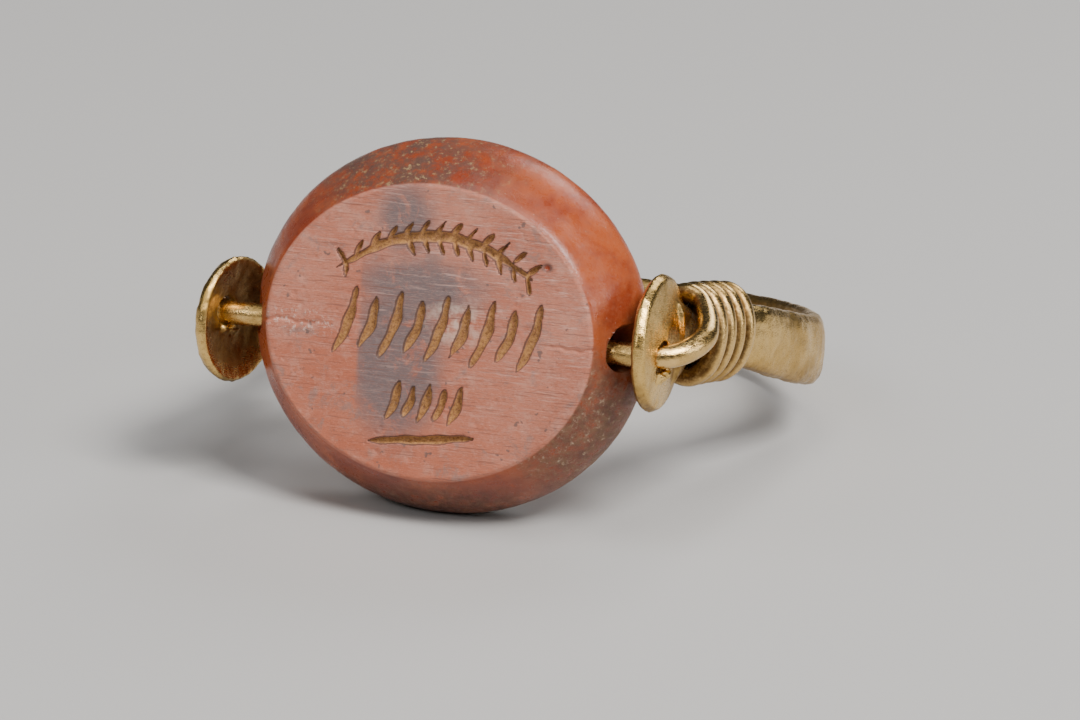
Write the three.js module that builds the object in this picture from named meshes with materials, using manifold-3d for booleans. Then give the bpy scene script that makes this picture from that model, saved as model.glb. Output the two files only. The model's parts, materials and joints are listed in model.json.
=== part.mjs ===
// Ancient swivel ring: an engraved red stone that turns on a gold wire between the ends of a gold hoop.
// Millimetres, +Z up. The ring lies as it does when put down: on the stone's lower edge and the hoop's back.
// +X runs along the wire, +Y from the engraved face towards the back of the hoop.

import * as THREE from "three";
import * as BufferGeometryUtils from "three/addons/utils/BufferGeometryUtils.js";
import Module from "manifold-3d";

const wasm = await Module();
wasm.setup();

// Driving sizes of the stone, measured from the axis of its drilled hole.
const FACE_HALF_LENGTH = 6.55;
const FACE_HALF_HEIGHT = 5.6;
const FACE_BEFORE_AXIS = 1.35;
const GIRDLE_MARGIN = 1.3;
const GIRDLE_MARGIN_HEIGHT = 1.6;
const GIRDLE_BEHIND_AXIS = 1.4;
const BACK_DOME = 3.2;
const STONE_LIFT = 0.16;
const FACE_LEAN = 11;

// The wire and the holes that it runs through.
const WIRE_DIAMETER = 0.85;
const HOLE_CLEARANCE = 0.32;
const HOLE_MOUTH_WIDENING = 0.26;
const HOLE_MOUTH_RISE = 0.3;
const HOLE_MOUTH_DEPTH = 1.2;

// The pierced discs that end the hoop.
const DISC_RIM = 0.58;
const DISC_DISH = 0.42;
const DISC_CONE = 0.3;
const DISC_CONE_TOP = 1.6;

// The hoop, as plan sizes of its middle line.
const HOOP_HALF_WIDTH = 10.4;
const HOOP_ARC_DEPTH = 9.4;
const HOOP_ARC_DROP = 0.5;
const HOOP_RIGHTWARD = 0.25;
const HOOP_BACK_LEFTWARD = 0.8;
const LEG_LENGTH = 13.2;
const BAND_WIDTH = 2.92;
const BAND_WIDTH_LEG = 2.6;
const BAND_CROWN = 0.68;
const BAND_EDGE = 0.36;
const ROOT_OUT = 0.74;
const ROOT_WIDTH = 3.3;
const ROOT_THICKNESS = 0.68;

// What differs from end to end: the disc's size and stand against the wire, the leg's neck and the winding.
const LEFT_END = {
  side: -1,
  discDiameter: 5.05,
  discGap: 0.38,
  discBack: 0.35,
  discRise: -0.3,
  discTurn: -12,
  legOut: 9.1,
  legRise: -0.2,
  neckWidth: 1.6,
  neckThickness: 1,
  windingStart: 5.4,
  turns: 5,
  woundDiameter: 0.48,
  startAngle: 20,
};
const RIGHT_END = {
  side: 1,
  discDiameter: 5.3,
  discGap: 0.27,
  discBack: 0.75,
  discRise: 0.45,
  discTurn: 0,
  legOut: 8.7,
  legRise: 0.6,
  neckWidth: 2.3,
  neckThickness: 1.15,
  windingStart: 3.2,
  turns: 4.3,
  woundDiameter: 0.72,
  startAngle: 60,
};
const WINDING_GAP = 0.12;
const TURN_GAP = 0.05;

// How the ring lies.
const RING_ROLL = 1.7;
const REST_FLAT = 0.05;

// The engraving on the stone's face.
const CUT_DEPTH = 0.3;
const PALM_MIDDLE = 0.3;
const PALM_SPAN = 3.75;
const PALM_HEIGHT = 2.55;
const PALM_RISE = 1.3;
const STEM_WIDTH = 0.46;
const UPPER_LEAVES = 12;
const LOWER_LEAVES = 9;
const LEAF_LENGTH = 0.72;
const LEAF_WIDTH = 0.22;
const ROW_STROKES = 9;
const ROW_MIDDLE = 0.35;
const ROW_HALF_LENGTH = 3.7;
const ROW_HEIGHT = 0.35;
const ROW_STROKE_LENGTH = 2.7;
const ROW_STROKE_WIDTH = 0.4;
const LOW_STROKES = 5;
const LOW_HALF_LENGTH = 1.25;
const LOW_HEIGHT = -2.5;
const LOW_STROKE_LENGTH = 1.6;
const LOW_STROKE_WIDTH = 0.36;
const BASE_STROKE_HALF_LENGTH = 2.15;
const BASE_STROKE_HEIGHT = -3.9;
const BASE_STROKE_SLOPE = 0.12;

const GIRDLE_HALF_LENGTH = FACE_HALF_LENGTH + GIRDLE_MARGIN;
const GIRDLE_HALF_HEIGHT = FACE_HALF_HEIGHT + GIRDLE_MARGIN_HEIGHT;
const HOLE_RADIUS = WIRE_DIAMETER / 2 + HOLE_CLEARANCE;
const HOLE_MOUTH_RADIUS = HOLE_RADIUS + HOLE_MOUTH_WIDENING;
const radians = THREE.MathUtils.degToRad;
const lerp = THREE.MathUtils.lerp;
const smooth = THREE.MathUtils.smoothstep;

// Meshes, solids and cuts.

function toSolid(geometry) {
  const bare = geometry.clone();
  bare.deleteAttribute("normal");
  bare.deleteAttribute("uv");
  const merged = BufferGeometryUtils.mergeVertices(bare, 1e-5);
  return new wasm.Manifold(new wasm.Mesh({
    numProp: 3,
    vertProperties: new Float32Array(merged.attributes.position.array),
    triVerts: new Uint32Array(merged.index.array),
  }));
}

function toGeometry(solid) {
  const mesh = solid.getMesh();
  const positions = new Float32Array(mesh.vertProperties);
  const geometry = new THREE.BufferGeometry();
  geometry.setAttribute("position", new THREE.BufferAttribute(positions, 3));
  geometry.setIndex(new THREE.BufferAttribute(new Uint32Array(mesh.triVerts), 1));
  geometry.computeVertexNormals();
  return geometry;
}

// A closed skin through rings of equally many points, with a fan over each end.
function loft(rings) {
  const size = rings[0].length;
  const positions = [];
  const triangles = [];
  for (const ring of rings) {
    for (const point of ring) {
      positions.push(point.x, point.y, point.z);
    }
  }
  for (let ring = 0; ring + 1 < rings.length; ring++) {
    for (let side = 0; side < size; side++) {
      const here = ring * size + side;
      const next = ring * size + ((side + 1) % size);
      triangles.push(here, next, next + size);
      triangles.push(here, next + size, here + size);
    }
  }
  addFan(positions, triangles, rings[0], 0, false);
  addFan(positions, triangles, rings[rings.length - 1], (rings.length - 1) * size, true);
  const geometry = new THREE.BufferGeometry();
  geometry.setAttribute("position", new THREE.Float32BufferAttribute(positions, 3));
  geometry.setIndex(triangles);
  return geometry;
}

function addFan(positions, triangles, ring, first, forward) {
  const centre = new THREE.Vector3();
  for (const point of ring) {
    centre.addScaledVector(point, 1 / ring.length);
  }
  const middle = positions.length / 3;
  positions.push(centre.x, centre.y, centre.z);
  for (let side = 0; side < ring.length; side++) {
    const here = first + side;
    const next = first + ((side + 1) % ring.length);
    triangles.push(middle, forward ? here : next, forward ? next : here);
  }
}

// A skin swept along a curve; section(share) gives its outline as [across, up] pairs.
function sweep(curve, steps, up, section) {
  const rings = [];
  for (let step = 0; step <= steps; step++) {
    const share = step / steps;
    const centre = curve.getPointAt(share);
    const ahead = curve.getTangentAt(share);
    const across = new THREE.Vector3().crossVectors(up, ahead).normalize();
    const upright = new THREE.Vector3().crossVectors(ahead, across).normalize();
    const place = ([a, b]) => centre.clone().addScaledVector(across, a).addScaledVector(upright, b);
    rings.push(section(share).map(place));
  }
  return loft(rings);
}

// A round wire along a curve; radiusAt(point) gives its radius there.
function wireAlong(curve, steps, sides, radiusAt) {
  const frames = curve.computeFrenetFrames(steps, false);
  const rings = [];
  for (let step = 0; step <= steps; step++) {
    const centre = curve.getPointAt(step / steps);
    const radius = radiusAt(centre);
    const ring = [];
    for (let side = 0; side < sides; side++) {
      const angle = (2 * Math.PI * side) / sides;
      const point = centre.clone();
      point.addScaledVector(frames.normals[step], radius * Math.cos(angle));
      point.addScaledVector(frames.binormals[step], radius * Math.sin(angle));
      ring.push(point);
    }
    rings.push(ring);
  }
  return loft(rings);
}

// The stone, in its own frame: x along the hole, y up the face, z out of the face.

function stoneRing(grow, depth) {
  const ringPoints = 64;
  const ring = [];
  for (let index = 0; index < ringPoints; index++) {
    const angle = (2 * Math.PI * index) / ringPoints;
    ring.push(new THREE.Vector3(
      lerp(FACE_HALF_LENGTH, GIRDLE_HALF_LENGTH, grow) * Math.cos(angle),
      lerp(FACE_HALF_HEIGHT, GIRDLE_HALF_HEIGHT, grow) * Math.sin(angle) + STONE_LIFT,
      depth,
    ));
  }
  return ring;
}

function stoneBody() {
  const sideSteps = 5;
  const domeSteps = 7;
  const rings = [];
  for (let step = 0; step < domeSteps; step++) {
    const angle = (Math.PI / 2) * (1 - (step + 0.4) / (domeSteps + 0.4));
    const depth = -GIRDLE_BEHIND_AXIS - BACK_DOME * Math.sin(angle);
    const narrowing = new THREE.Vector3(Math.cos(angle), Math.cos(angle), 1);
    rings.push(stoneRing(1, depth).map((point) => point.multiply(narrowing)));
  }
  for (let step = 0; step <= sideSteps; step++) {
    const share = step / sideSteps;
    const grow = Math.cos((share * Math.PI) / 2);
    rings.push(stoneRing(grow, lerp(-GIRDLE_BEHIND_AXIS, FACE_BEFORE_AXIS, share)));
  }
  return loft(rings);
}

// The drilled hole, with a worn mouth at each end that is wider and sits a little higher.
function stoneHole() {
  const sides = 20;
  const reach = GIRDLE_HALF_LENGTH + HOLE_MOUTH_DEPTH;
  const inside = GIRDLE_HALF_LENGTH - HOLE_MOUTH_DEPTH;
  const stations = [
    [-reach, HOLE_MOUTH_RADIUS, HOLE_MOUTH_RISE],
    [-GIRDLE_HALF_LENGTH, HOLE_MOUTH_RADIUS, HOLE_MOUTH_RISE],
    [-inside, HOLE_RADIUS, 0],
    [inside, HOLE_RADIUS, 0],
    [GIRDLE_HALF_LENGTH, HOLE_MOUTH_RADIUS, HOLE_MOUTH_RISE],
    [reach, HOLE_MOUTH_RADIUS, HOLE_MOUTH_RISE],
  ];
  return loft(stations.map(([x, radius, rise]) => {
    const ring = [];
    for (let side = 0; side < sides; side++) {
      const angle = (2 * Math.PI * side) / sides;
      ring.push(new THREE.Vector3(x, rise + radius * Math.cos(angle), radius * Math.sin(angle)));
    }
    return ring;
  }));
}

// One engraved stroke, pointed at both ends, along the points of a curve on the face.
function stroke(points, width, steps) {
  const proud = 0.2;
  const narrowest = 0.12;
  const curve = new THREE.CatmullRomCurve3(points.map(([x, y]) => new THREE.Vector3(x, y, FACE_BEFORE_AXIS)));
  return sweep(curve, steps, new THREE.Vector3(0, 0, 1), (share) => {
    const swell = narrowest + (1 - narrowest) * Math.sin(Math.PI * share) ** 0.6;
    const half = (width / 2) * swell;
    return [[half, 0], [0, proud], [-half, 0], [0, -CUT_DEPTH * swell]];
  });
}

// The palm branch's bowed stem at a place along it, from -1 to 1.
function palmStem(place) {
  return [PALM_MIDDLE + PALM_SPAN * place, PALM_HEIGHT + PALM_RISE * (1 - place * place)];
}

// Leaves on one side of the stem: they lean towards the branch's tip at the right.
function palmLeaves(count, from, side) {
  const lean = side > 0 ? 62 : 68;
  const fan = 26;
  const leaves = [];
  for (let leaf = 0; leaf < count; leaf++) {
    const place = lerp(from, 0.97, leaf / (count - 1));
    const [x, y] = palmStem(place);
    const angle = radians(side * lean - fan * place);
    const tip = [x + LEAF_LENGTH * Math.cos(angle), y + LEAF_LENGTH * Math.sin(angle)];
    leaves.push(stroke([[x, y], tip], LEAF_WIDTH, 3));
  }
  return leaves;
}

function engraving() {
  const stem = [-1, -0.5, 0, 0.5, 1].map((place) => palmStem(place));
  const low = -BASE_STROKE_HALF_LENGTH;
  const base = [low, 0, -low].map((x) => [x, BASE_STROKE_HEIGHT + BASE_STROKE_SLOPE * x]);
  return [
    stroke(stem, STEM_WIDTH, 10),
    ...palmLeaves(UPPER_LEAVES, -0.9, 1),
    ...palmLeaves(LOWER_LEAVES, -0.35, -1),
    ...strokeRow(ROW_STROKES, ROW_MIDDLE, ROW_HALF_LENGTH, ROW_HEIGHT, ROW_STROKE_LENGTH, ROW_STROKE_WIDTH),
    ...strokeRow(LOW_STROKES, 0, LOW_HALF_LENGTH, LOW_HEIGHT, LOW_STROKE_LENGTH, LOW_STROKE_WIDTH),
    stroke(base, LOW_STROKE_WIDTH, 6),
  ];
}

// A row of slanting strokes, longer and shorter by turns.
function strokeRow(count, centre, halfLength, height, length, width) {
  const slant = radians(72);
  const shorter = 0.78;
  const row = [];
  for (let index = 0; index < count; index++) {
    const x = centre + lerp(-halfLength, halfLength, index / (count - 1));
    const half = (length / 2) * (index % 2 ? shorter : 1);
    const run = half * Math.cos(slant);
    const rise = half * Math.sin(slant);
    const bow = 0.06 * length;
    row.push(stroke([[x - run, height - rise], [x + bow, height], [x + run, height + rise]], width, 4));
  }
  return row;
}

function buildStone() {
  let solid = toSolid(stoneBody()).subtract(toSolid(stoneHole()));
  for (const cut of engraving()) {
    solid = solid.subtract(toSolid(cut));
  }
  return toGeometry(solid);
}

// The hoop, in the ring's frame: x along the wire, y from the wire to the back, z across the band.

// The places that follow from one end's sizes.
function placed(end) {
  const plane = GIRDLE_HALF_LENGTH + end.discGap;
  const pitch = end.woundDiameter + TURN_GAP;
  return {
    ...end,
    plane,
    pitch,
    discRadius: end.discDiameter / 2,
    disc: new THREE.Vector3(end.side * plane, end.discBack, end.discRise),
    rootBack: end.discBack + 0.17 * end.discDiameter,
    windingEnd: end.windingStart + end.turns * pitch,
  };
}

const LEFT = placed(LEFT_END);
const RIGHT = placed(RIGHT_END);

// Points of one leg from inside its disc to where it leaves its winding.
function legPoints(end) {
  const arcSide = HOOP_HALF_WIDTH + end.side * HOOP_RIGHTWARD;
  const stations = [
    [end.plane + ROOT_OUT, end.rootBack],
    [lerp(end.plane + ROOT_OUT, end.legOut, 0.5), lerp(end.rootBack, end.windingStart, 0.5)],
    [end.legOut, end.windingStart],
    [lerp(end.legOut, arcSide, 0.3), end.windingEnd],
    [lerp(end.legOut, arcSide, 0.75), lerp(end.windingEnd, LEG_LENGTH, 0.5)],
  ];
  const rises = [end.discRise, lerp(end.discRise, end.legRise, 0.5), end.legRise, end.legRise];
  rises.push(lerp(end.legRise, -HOOP_ARC_DROP, 0.5));
  return stations.map(([out, y], index) => new THREE.Vector3(end.side * out, y, rises[index]));
}

function hoopCurve() {
  const points = legPoints(RIGHT);
  for (const angle of [5, 30, 60, 90, 120, 150, 175]) {
    const sine = Math.sin(radians(angle));
    const x = HOOP_HALF_WIDTH * Math.cos(radians(angle)) + HOOP_RIGHTWARD - HOOP_BACK_LEFTWARD * sine;
    points.push(new THREE.Vector3(x, LEG_LENGTH + HOOP_ARC_DEPTH * sine, -HOOP_ARC_DROP));
  }
  points.push(...legPoints(LEFT).reverse());
  return new THREE.CatmullRomCurve3(points, false, "centripetal");
}

// The band's outline: a flared root, a neck under the winding, then a flat band with a crowned outer face.
function bandSection(point) {
  const sectionPoints = 16;
  const end = point.x > 0 ? RIGHT : LEFT;
  const root = 1 - smooth(point.y, end.rootBack, end.windingStart);
  const open = smooth(point.y, end.windingEnd - end.pitch / 2, end.windingEnd + 3 * end.pitch);
  const back = smooth(point.y, end.windingEnd, LEG_LENGTH);
  const neckWidth = lerp(end.neckWidth, ROOT_WIDTH, root);
  const neckThickness = lerp(end.neckThickness, ROOT_THICKNESS, root);
  const half = lerp(neckWidth, lerp(BAND_WIDTH_LEG, BAND_WIDTH, back), open) / 2;
  const outer = lerp(neckThickness / 2, BAND_CROWN, open);
  const inner = lerp(neckThickness / 2, BAND_EDGE, open);
  const outerRound = 0.75;
  const innerRound = 0.4;
  const edgeRound = 0.8;
  const outline = [];
  for (let index = 0; index < sectionPoints; index++) {
    const angle = (2 * Math.PI * index) / sectionPoints;
    const c = Math.cos(angle);
    const s = Math.sin(angle);
    const flatness = lerp(1, c < 0 ? outerRound : innerRound, open);
    const depth = (c < 0 ? outer : inner) * Math.sign(c) * Math.abs(c) ** flatness;
    const height = half * Math.sign(s) * Math.abs(s) ** lerp(1, edgeRound, open);
    outline.push([depth, height]);
  }
  return outline;
}

// A pierced disc with a dished inner face, a narrow rim and an outer face that rises to the leg.
function disc(end) {
  const radius = end.discRadius;
  const profile = [
    new THREE.Vector2(0, DISC_DISH),
    new THREE.Vector2(radius * 0.5, DISC_DISH * 0.75),
    new THREE.Vector2(radius * 0.93, 0),
    new THREE.Vector2(radius, DISC_RIM * 0.4),
    new THREE.Vector2(radius * 0.94, DISC_RIM),
    new THREE.Vector2(DISC_CONE_TOP / 2, DISC_RIM + DISC_CONE),
    new THREE.Vector2(0, DISC_RIM + DISC_CONE),
  ];
  const geometry = new THREE.LatheGeometry(profile, 32).rotateZ(-Math.PI / 2);
  if (end.side < 0) {
    geometry.rotateZ(Math.PI);
  }
  return geometry.rotateZ(radians(end.discTurn)).translate(end.disc.x, end.disc.y, end.disc.z);
}

function discHole(end) {
  const reach = 2 * (DISC_RIM + DISC_CONE);
  const hole = new THREE.CylinderGeometry(HOLE_RADIUS, HOLE_RADIUS, 2 * reach, 16);
  return hole.rotateZ(Math.PI / 2).translate(end.disc.x, 0, 0);
}

function buildHoop() {
  const curve = hoopCurve();
  const up = new THREE.Vector3(0, 0, 1);
  const band = sweep(curve, 72, up, (share) => bandSection(curve.getPointAt(share)));
  let solid = toSolid(band);
  for (const end of [LEFT, RIGHT]) {
    solid = solid.add(toSolid(disc(end))).subtract(toSolid(discHole(end)));
  }
  return toGeometry(solid);
}

// The wire runs through both discs and the stone, loops over each leg and is wound round it.

// The point of the hoop's middle line on one leg at a distance behind the wire.
function pointOnLeg(curve, end, y) {
  let near = end.side > 0 ? 0 : 1;
  let far = 0.5;
  for (let pass = 0; pass < 20; pass++) {
    const middle = (near + far) / 2;
    if (curve.getPointAt(middle).y < y) {
      near = middle;
    } else {
      far = middle;
    }
  }
  return curve.getPointAt(near);
}

function windingPoints(end, curve) {
  const perTurn = 10;
  const count = Math.round(end.turns * perTurn);
  const across = (end.neckThickness + end.woundDiameter) / 2 + WINDING_GAP;
  const upward = (end.neckWidth + end.woundDiameter) / 2 + WINDING_GAP;
  const points = [];
  for (let step = 0; step <= count; step++) {
    const y = lerp(end.windingStart, end.windingEnd, step / count);
    const centre = pointOnLeg(curve, end, y);
    const angle = radians(end.startAngle) + (2 * Math.PI * step) / perTurn;
    const x = centre.x + end.side * across * Math.cos(angle);
    points.push(new THREE.Vector3(x, y, centre.z + upward * Math.sin(angle)));
  }
  return points;
}

// One end of the wire: out of the disc, along the outer side of the leg and on into the winding.
function wireEnd(end, curve) {
  const bend = 0.6 * WIRE_DIAMETER;
  const out = end.plane + DISC_RIM + DISC_CONE + bend;
  const winding = windingPoints(end, curve);
  const besideDisc = new THREE.Vector3(end.side * out, bend, 0.4 * bend);
  const besideLeg = new THREE.Vector3(end.side * (out + bend), 0, 0);
  besideLeg.y = 0.53 * winding[0].y;
  besideLeg.z = 0.42 * winding[0].z;
  return [
    new THREE.Vector3(end.side * end.plane * 0.3, 0, 0),
    new THREE.Vector3(end.side * end.plane * 0.85, 0, 0),
    new THREE.Vector3(end.side * (end.plane + DISC_RIM), 0, 0),
    besideDisc,
    besideLeg,
    ...winding,
  ];
}

// The wire's radius at a point: it grows thinner between the disc and the winding.
function wireRadius(point) {
  const end = point.x > 0 ? RIGHT : LEFT;
  const thin = smooth(point.y, WIRE_DIAMETER, end.windingStart);
  return lerp(WIRE_DIAMETER, end.woundDiameter, thin) / 2;
}

function buildWire() {
  const curve = hoopCurve();
  const points = [...wireEnd(LEFT, curve).reverse(), ...wireEnd(RIGHT, curve)];
  const path = new THREE.CatmullRomCurve3(points, false, "centripetal");
  return wireAlong(path, 205, 8, wireRadius);
}

// How the ring lies: the stone leans back on its lower edge, and the hoop slopes down to its back.

function lowest(geometry) {
  geometry.computeBoundingBox();
  return geometry.boundingBox.min.z;
}

function roll(geometry) {
  return geometry.rotateY(-radians(RING_ROLL));
}

// The slope that brings the hoop's back down to the floor from the wire's height.
function hoopSlope(hoop, height) {
  let flat = 0;
  let steep = Math.PI / 4;
  for (let pass = 0; pass < 24; pass++) {
    const slope = (flat + steep) / 2;
    if (lowest(roll(hoop.clone().rotateX(-slope))) + height > -REST_FLAT) {
      flat = slope;
    } else {
      steep = slope;
    }
  }
  return flat;
}

// Cut a small flat where a piece meets the floor.
function cutAtFloor(geometry) {
  const size = 4 * (LEG_LENGTH + HOOP_ARC_DEPTH);
  const floor = new THREE.BoxGeometry(size, size, size).translate(0, 0, -size / 2);
  return toGeometry(toSolid(geometry).subtract(toSolid(floor)));
}

const stone = roll(buildStone().rotateX(Math.PI / 2 - radians(FACE_LEAN)));
const wireHeight = -REST_FLAT - lowest(stone);
const hoop = buildHoop();
const slope = hoopSlope(hoop, wireHeight);
roll(hoop.rotateX(-slope));
const wire = roll(buildWire().rotateX(-slope));

function material(colour, roughness, metalness) {
  return new THREE.MeshStandardMaterial({ color: colour, roughness, metalness });
}

const LOOKS = {
  stone: material("#b4553c", 0.5, 0),
  hoop: material("#cdb068", 0.35, 1),
  wire: material("#bf9f5c", 0.38, 1),
};

const ring = new THREE.Group();
for (const [name, geometry] of Object.entries({ stone, hoop, wire })) {
  const mesh = new THREE.Mesh(cutAtFloor(geometry.translate(0, 0, wireHeight)), LOOKS[name]);
  mesh.name = name;
  ring.add(mesh);
}

// The origin stands under the middle of the whole ring's box.
const middle = new THREE.Box3().setFromObject(ring).getCenter(new THREE.Vector3());
ring.position.set(-middle.x, -middle.y, 0);

export default ring;
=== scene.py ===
# The looks of an ancient swivel ring: a worn red intaglio that turns on a gold wire between the ends of a
# gold hoop. Sizes are in millimetres, in the stone's frame (x along the hole, y up the face, z out of the
# face) or the hoop's (x along the wire, y from the wire to the back, z across the band).

import json
import math

import bpy
import numpy as np
from mathutils import Matrix, Vector, noise


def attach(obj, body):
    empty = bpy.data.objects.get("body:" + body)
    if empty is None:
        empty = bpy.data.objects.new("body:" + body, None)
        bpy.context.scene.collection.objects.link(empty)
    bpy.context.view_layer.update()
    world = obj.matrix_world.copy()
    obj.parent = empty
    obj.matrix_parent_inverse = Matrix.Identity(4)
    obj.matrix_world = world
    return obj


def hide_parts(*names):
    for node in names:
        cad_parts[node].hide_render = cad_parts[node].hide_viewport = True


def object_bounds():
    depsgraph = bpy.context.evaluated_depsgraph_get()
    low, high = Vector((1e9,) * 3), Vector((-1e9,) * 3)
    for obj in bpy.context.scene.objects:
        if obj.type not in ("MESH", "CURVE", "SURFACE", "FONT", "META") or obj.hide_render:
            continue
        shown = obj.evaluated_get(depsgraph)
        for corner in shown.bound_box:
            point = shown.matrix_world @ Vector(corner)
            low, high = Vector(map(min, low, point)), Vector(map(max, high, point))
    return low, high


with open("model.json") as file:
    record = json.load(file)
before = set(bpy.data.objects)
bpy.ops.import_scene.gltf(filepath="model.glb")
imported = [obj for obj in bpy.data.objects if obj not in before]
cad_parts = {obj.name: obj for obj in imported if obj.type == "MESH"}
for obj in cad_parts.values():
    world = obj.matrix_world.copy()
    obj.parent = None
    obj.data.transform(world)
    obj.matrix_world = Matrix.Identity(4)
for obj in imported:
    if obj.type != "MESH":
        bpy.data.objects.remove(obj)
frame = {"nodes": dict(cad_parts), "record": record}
cad_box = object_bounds()

MM = 0.001

# The wire's middle and the ring's roll, from the frame's one joint. The face leans back from upright, and
# the hoop slopes down until its back rests on the floor.
SWIVEL = frame["record"]["behaviour"]["joints"][0]
WIRE_MIDDLE = Vector(SWIVEL["pos_m"])
RING_ROLL = math.atan2(SWIVEL["axis"][2], SWIVEL["axis"][0])
FACE_LEAN = math.radians(11)
HOOP_SLOPE = math.radians(13.396)

# The stone.
FACE_HALF_LENGTH = 6.55
FACE_HALF_HEIGHT = 5.6
FACE_DEPTH = 1.35
GIRDLE_HALF_LENGTH = 7.85
GIRDLE_HALF_HEIGHT = 7.2
GIRDLE_DEPTH = -1.4
BACK_DOME = 3.2
STONE_LIFT = 0.16
HOLE_RADIUS = 0.745
MOUTH_RADIUS = 1.005
MOUTH_RISE = 0.3
MOUTH_DEPTH = 1.2
FACE_CELLS = 220
SIDE_RINGS = 16
BACK_RINGS = 18

# Old damage on the face, whose marks all lie in a thin worn layer.
WORN_LAYER = 0.3
FRACTURE_HEIGHT = 0.12
FRACTURE_HALF_WIDTH = 0.07
FRACTURE_DEPTH = 0.05
CHIP = (4.6, 3.07)
CHIP_RADIUS = 0.16
CHIP_DEPTH = 0.12
PITS = 90
PIT_DEPTH = 0.035
EDGE_WEAR = 0.05

# The engraving. Its strokes are part filled, so they are shallower than in the solid.
FILLED_DEPTH = 0.22
PALM_MIDDLE = 0.3
PALM_SPAN = 3.75
PALM_HEIGHT = 2.55
PALM_RISE = 1.3
STEM_WIDTH = 0.46
UPPER_LEAVES = 12
LOWER_LEAVES = 9
LEAF_LENGTH = 0.72
LEAF_WIDTH = 0.19
UPPER_LEAF_LEAN = 52
LOWER_LEAF_LEAN = 66
LEAF_FAN = 14
FIRST_UPPER_LEAF = -0.9
FIRST_LOWER_LEAF = -0.35
LAST_LEAF = 0.94
ROW_STROKES = 9
ROW_MIDDLE = 0.35
ROW_HALF_LENGTH = 3.7
ROW_HEIGHT = 0.35
ROW_STROKE_LENGTH = 2.7
ROW_STROKE_WIDTH = 0.4
LOW_STROKES = 5
LOW_HALF_LENGTH = 1.25
LOW_HEIGHT = -2.5
LOW_STROKE_LENGTH = 1.6
LOW_STROKE_WIDTH = 0.36
STROKE_SLANT = math.radians(72)
SHORT_STROKE_SHARE = 0.78
BASE_HALF_LENGTH = 2.15
BASE_HEIGHT = -3.9
BASE_SLOPE = 0.12

# The wire, and what of the discs and legs it follows.
WIRE_DIAMETER = 0.85
DISC_RIM = 0.58
DISC_CONE = 0.3
ROOT_OUT = 0.74
ROOT_SHARE = 0.17
WINDING_GAP = 0.12
TURN_GAP = 0.05
POINTS_PER_TURN = 10
STRAND_BEND = 0.6 * WIRE_DIAMETER
LINE_SAMPLES = 1500
HOOP_HALF_WIDTH = 10.4
HOOP_ARC_DEPTH = 9.4
HOOP_ARC_DROP = 0.5
HOOP_RIGHTWARD = 0.25
HOOP_BACK_LEFTWARD = 0.8
LEG_LENGTH = 13.2

# Each end of the ring: its side, disc, leg, neck and winding. Angles are in degrees.
LEFT = {
    "side": -1, "disc": 5.05, "disc_gap": 0.38, "disc_back": 0.35, "disc_rise": -0.3,
    "leg_out": 9.1, "leg_rise": -0.2, "neck_width": 1.6, "neck_thickness": 1.0,
    "start": 5.4, "turns": 5, "wound": 0.48, "angle": 20,
}
RIGHT = {
    "side": 1, "disc": 5.3, "disc_gap": 0.27, "disc_back": 0.75, "disc_rise": 0.45,
    "leg_out": 8.7, "leg_rise": 0.6, "neck_width": 2.3, "neck_thickness": 1.15,
    "start": 3.2, "turns": 4.3, "wound": 0.72, "angle": 60,
}

# The camera: what it aims at on the floor, and where it stands from there.
CAMERA_AIM = Vector((-2.6, 8.05, 0)) * MM
CAMERA_DISTANCE = 192.4 * MM
CAMERA_AZIMUTH = math.radians(19.27)
CAMERA_ELEVATION = math.radians(19)
CAMERA_ROLL = math.radians(1.36)
CAMERA_LENS = 152.6


def lying(turn):
    """The matrix from a piece's own frame, turned about the wire and rolled, to the row frame in metres."""
    roll = Matrix.Rotation(-RING_ROLL, 4, "Y")
    return Matrix.Translation(WIRE_MIDDLE) @ roll @ Matrix.Rotation(turn, 4, "X") @ Matrix.Scale(MM, 4)


def with_places(end):
    """An end with its disc's plane, its leg's root and where its winding stops."""
    made = dict(end)
    made["plane"] = GIRDLE_HALF_LENGTH + end["disc_gap"]
    made["root"] = end["disc_back"] + ROOT_SHARE * end["disc"]
    made["end"] = end["start"] + end["turns"] * (end["wound"] + TURN_GAP)
    return made


STONE_FRAME = lying(math.pi / 2 - FACE_LEAN)
HOOP_FRAME = lying(-HOOP_SLOPE)
LEFT_END = with_places(LEFT)
RIGHT_END = with_places(RIGHT)


# Curves.

def catmull(points, samples):
    """A centripetal Catmull-Rom curve through the points, sampled at even distances."""
    given = np.array(points, float)
    ends = 2 * given[[0, -1]] - given[[1, -2]]
    knots = np.vstack([ends[:1], given, ends[1:]])
    samples_a_span = 24
    steps = np.linspace(0, 1, samples_a_span, endpoint=False)[:, None]
    parts = []
    for a, b, c, d in zip(knots, knots[1:], knots[2:], knots[3:]):
        before, here, after = (max(np.linalg.norm(q - p) ** 0.5, 1e-3) for p, q in ((a, b), (b, c), (c, d)))
        lead = here * ((b - a) / before - (c - a) / (before + here) + (c - b) / here)
        trail = here * ((c - b) / here - (d - b) / (here + after) + (d - c) / after)
        square = 3 * (c - b) - 2 * lead - trail
        cube = 2 * (b - c) + lead + trail
        parts.append(b + lead * steps + square * steps ** 2 + cube * steps ** 3)
    dense = np.vstack(parts + [given[-1:]])
    along = np.concatenate([[0], np.cumsum(np.linalg.norm(np.diff(dense, axis=0), axis=1))])
    even = np.linspace(0, along[-1], samples)
    return np.stack([np.interp(even, along, dense[:, k]) for k in range(dense.shape[1])], axis=1)


def smooth(value, low, high):
    """0 at low and 1 at high, with low above high for a fall."""
    share = np.clip((value - low) / (high - low), 0, 1)
    return share * share * (3 - 2 * share)


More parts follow.
